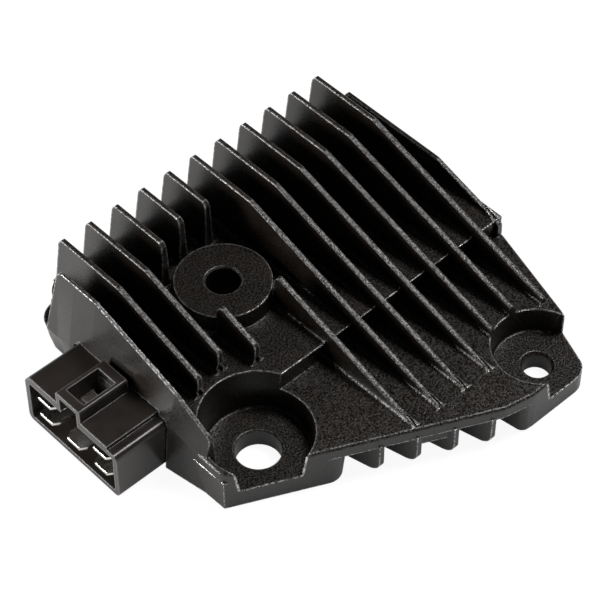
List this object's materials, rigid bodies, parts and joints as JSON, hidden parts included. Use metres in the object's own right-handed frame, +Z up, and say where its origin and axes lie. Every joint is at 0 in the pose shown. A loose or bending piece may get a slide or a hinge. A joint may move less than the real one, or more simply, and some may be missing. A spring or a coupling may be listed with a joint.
{
  "type": "voltage regulator rectifier",
  "caption": "Black finned die-cast regulator rectifier with an oblique front edge, pocketed mounting lugs, a raised boss and a flat-blade connector on one side.",
  "frame": {"origin": "axis of the left mounting hole, on the mounting plane", "axes": "+X across the fins away from the connector, +Y along the fins toward their back ends, +Z up from the mounting plane"},
  "size_m": [0.1111, 0.096, 0.0303],
  "materials": {
    "heat_sink_coat": "satin black coat over die-cast aluminium, fine grained",
    "housing_plastic": "semi-gloss black moulding",
    "tinned_blade": "tin-plated brass, bright",
    "resin": "dull black potting resin",
    "sheet": "grey silicone heat-transfer sheet",
    "board_laminate": "green laminate",
    "package": "black moulded package",
    "copper": "bare copper strip",
    "can": "satin can",
    "chip_ceramic": "dark chip with a glazed face"
  },
  "bodies": {
    "root": {"heat_sink": "heat_sink_coat", "connector_housing": "housing_plastic", "potting_resin": "resin", "insulating_sheet": "sheet", "circuit_board": "board_laminate", "blade_upper_left": "tinned_blade", "blade_upper_right": "tinned_blade", "blade_lower_left": "tinned_blade", "blade_lower_middle": "tinned_blade", "blade_lower_right": "tinned_blade", "thyristor_1": "package", "thyristor_2": "package", "thyristor_3": "package", "diode_1": "package", "diode_2": "package", "diode_3": "package", "control_chip": "package", "zener_diode": "package", "filter_capacitor": "can", "bus_strip_plus": "copper", "bus_strip_minus": "copper", "resistor_1": "chip_ceramic", "resistor_2": "chip_ceramic", "resistor_3": "chip_ceramic", "resistor_4": "chip_ceramic"}
  },
  "joints": []
}
